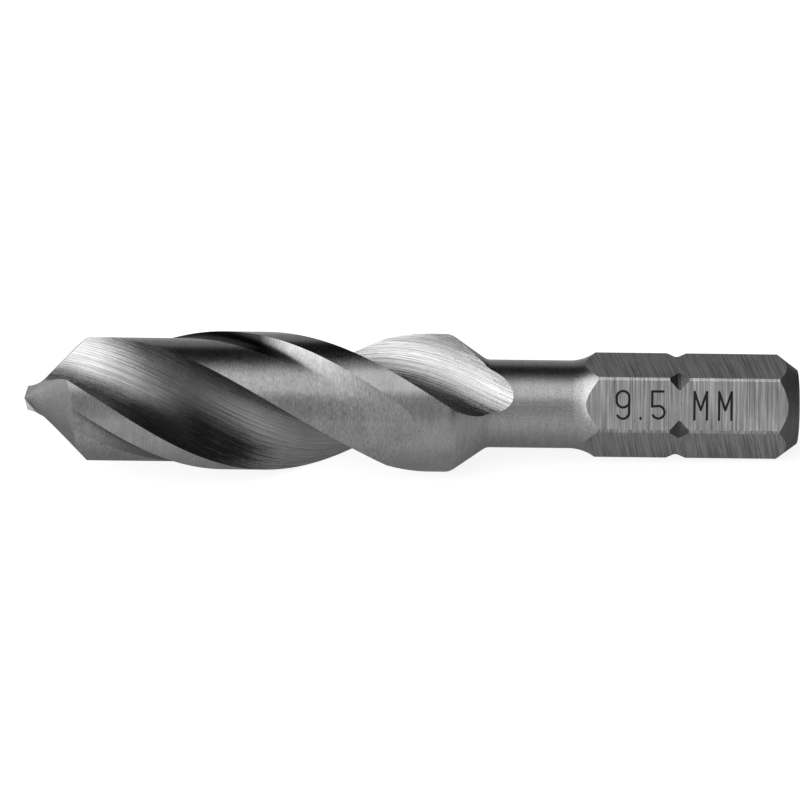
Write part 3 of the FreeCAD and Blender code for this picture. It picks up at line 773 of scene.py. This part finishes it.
def add_floor():
    """White to the camera but for the drill's shadow, and to the steel a grey painted glow, with painted light
    brighter on the left and a painted shadow along the drill.
    """
    n = Nodes("floor_painted_light")
    spot = n.add("ShaderNodeSeparateXYZ", {0: n.add("ShaderNodeTexCoord").outputs["Object"]})
    path = n.add("ShaderNodeLightPath")
    # Painted light: to the steel the floor glows, brighter towards and past the point's end.
    glow = n.remap(spot.outputs["X"], -0.02, -0.045, 0.4, 0.58)
    aside = n.add("ShaderNodeMath", {0: spot.outputs["Y"]}, operation="ABSOLUTE").outputs[0]
    # Painted shadow: the glow is dimmed to under half close along the drill and is full from 9 mm to its side.
    glow = n.mix_value(glow, n.remap(aside, 0.0015, 0.009, 0.45, 1.0))
    later = n.add("ShaderNodeMath", {0: path.outputs["Ray Depth"], 1: FLOOR_SECOND}, operation="GREATER_THAN").outputs[0]
    weaker = n.remap(later, 0.0, 1.0, 1.0, SECOND_HAND)
    for_object = n.add("ShaderNodeEmission", {"Color": (1.0, 1.0, 1.0, 1.0), "Strength": n.mix_value(glow, weaker)})
    shadow = n.add("ShaderNodeBsdfDiffuse", {"Color": (0.5, 0.5, 0.5, 1.0)})
    white = n.add("ShaderNodeEmission", {"Color": (1.0, 1.0, 1.0, 1.0), "Strength": 0.88})
    for_camera = n.add("ShaderNodeAddShader", {0: shadow.outputs[0], 1: white.outputs[0]})
    mixed = n.add("ShaderNodeMixShader", {
        0: path.outputs["Is Camera Ray"], 1: for_object.outputs[0], 2: for_camera.outputs[0],
    })
    output = n.add("ShaderNodeOutputMaterial")
    n.tree.links.new(mixed.outputs[0], output.inputs["Surface"])
    mesh = bpy.data.meshes.new("floor")
    corners = [(x * FLOOR_HALF, y * FLOOR_HALF, 0) for x, y in ((-1, -1), (1, -1), (1, 1), (-1, 1))]
    mesh.from_pydata(corners, [], [(0, 1, 2, 3)])
    mesh.materials.append(n.material)
    floor = new_object("floor", mesh)


def add_world():
    world = bpy.data.worlds.new("studio")
    bpy.context.scene.world = world
    world.use_nodes = True
    tree = world.node_tree
    tree.nodes.clear()

    def math_node(operation, first, second=0.0):
        node = tree.nodes.new("ShaderNodeMath")
        node.operation = operation
        for index, value in enumerate((first, second)):
            if isinstance(value, bpy.types.NodeSocket):
                tree.links.new(value, node.inputs[index])
            else:
                node.inputs[index].default_value = value
        return node.outputs[0]

    def window(value, low, high, soft):
        """1 between low and high, in degrees, falling to 0 over the softness about each of them."""
        ramps = []
        for edge, first, last in ((low, 0.0, 1.0), (high, 1.0, 0.0)):
            ramp = tree.nodes.new("ShaderNodeMapRange")
            ramp.interpolation_type = "SMOOTHSTEP"
            tree.links.new(value, ramp.inputs["Value"])
            ramp.inputs["From Min"].default_value = math.radians(edge - soft / 2)
            ramp.inputs["From Max"].default_value = math.radians(edge + soft / 2)
            ramp.inputs["To Min"].default_value = first
            ramp.inputs["To Max"].default_value = last
            ramps.append(ramp.outputs["Result"])
        return math_node("MULTIPLY", *ramps)

    spot = tree.nodes.new("ShaderNodeTexCoord")
    split = tree.nodes.new("ShaderNodeSeparateXYZ")
    tree.links.new(spot.outputs["Generated"], split.inputs[0])
    along = math_node("ARCSINE", split.outputs["X"])
    across = math_node("ARCSINE", split.outputs["Y"])
    around = math_node("ARCTAN2", split.outputs["Y"], split.outputs["Z"])
    total = 0.0
    for angle, rows in ((across, BOXES), (around, CARDS)):
        for low, high, soft, first, last, blur, level in rows:
            both = math_node("MULTIPLY", window(along, low, high, soft), window(angle, first, last, blur))
            total = math_node("ADD", math_node("MULTIPLY", both, level), total)
    studio = tree.nodes.new("ShaderNodeBackground")
    path = tree.nodes.new("ShaderNodeLightPath")
    later = math_node("GREATER_THAN", path.outputs["Ray Depth"], WORLD_SECOND)
    left = math_node("SUBTRACT", 1.0, math_node("MULTIPLY", later, 1.0 - SECOND_HAND))
    tree.links.new(math_node("MULTIPLY", total, left), studio.inputs["Strength"])
    white = tree.nodes.new("ShaderNodeBackground")
    white.inputs["Color"].default_value = (1.0, 1.0, 1.0, 1.0)
    white.inputs["Strength"].default_value = 1.0
    mixed = tree.nodes.new("ShaderNodeMixShader")
    tree.links.new(path.outputs["Is Camera Ray"], mixed.inputs[0])
    tree.links.new(studio.outputs[0], mixed.inputs[1])
    tree.links.new(white.outputs[0], mixed.inputs[2])
    output = tree.nodes.new("ShaderNodeOutputWorld")
    tree.links.new(mixed.outputs[0], output.inputs["Surface"])


# The camera's place as the photograph gives it, from the drill's own axes: how far it leans from straight
# over the marked flat towards the point, how far it is turned, its distance and the width that it sees.
CAMERA_LEAN = 3.8
CAMERA_ROLL = 0.67
CAMERA_FAR = 1500.0
CAMERA_SEES = 55.07
CAMERA_AIM = (25.896, 0.157, 0.0)
SENSOR = 36.0


def add_camera():
    lean = math.radians(CAMERA_LEAN)
    roll = math.radians(CAMERA_ROLL)
    flat_x = Vector((math.cos(lean), 0.0, math.sin(lean)))
    flat_y = Vector((0.0, 1.0, 0.0))
    back = Vector((-math.sin(lean), 0.0, math.cos(lean)))
    right = flat_x * math.cos(roll) + flat_y * math.sin(roll)
    up = flat_y * math.cos(roll) - flat_x * math.sin(roll)
    place = Vector(CAMERA_AIM) + back * CAMERA_FAR
    axes = Matrix((right, up, back)).transposed().to_4x4()
    lens = bpy.data.cameras.new("camera")
    lens.sensor_width = SENSOR
    lens.lens = SENSOR * CAMERA_FAR / CAMERA_SEES
    lens.clip_start = 0.1
    lens.clip_end = 20.0
    camera = new_object("camera", lens)
    camera.matrix_world = Matrix.Translation(TO_ROW @ place) @ TURN @ axes
    bpy.context.scene.camera = camera


finish_mesh(build_drill())
add_floor()
add_world()
add_camera()
bpy.context.scene.view_settings.view_transform = "Standard"
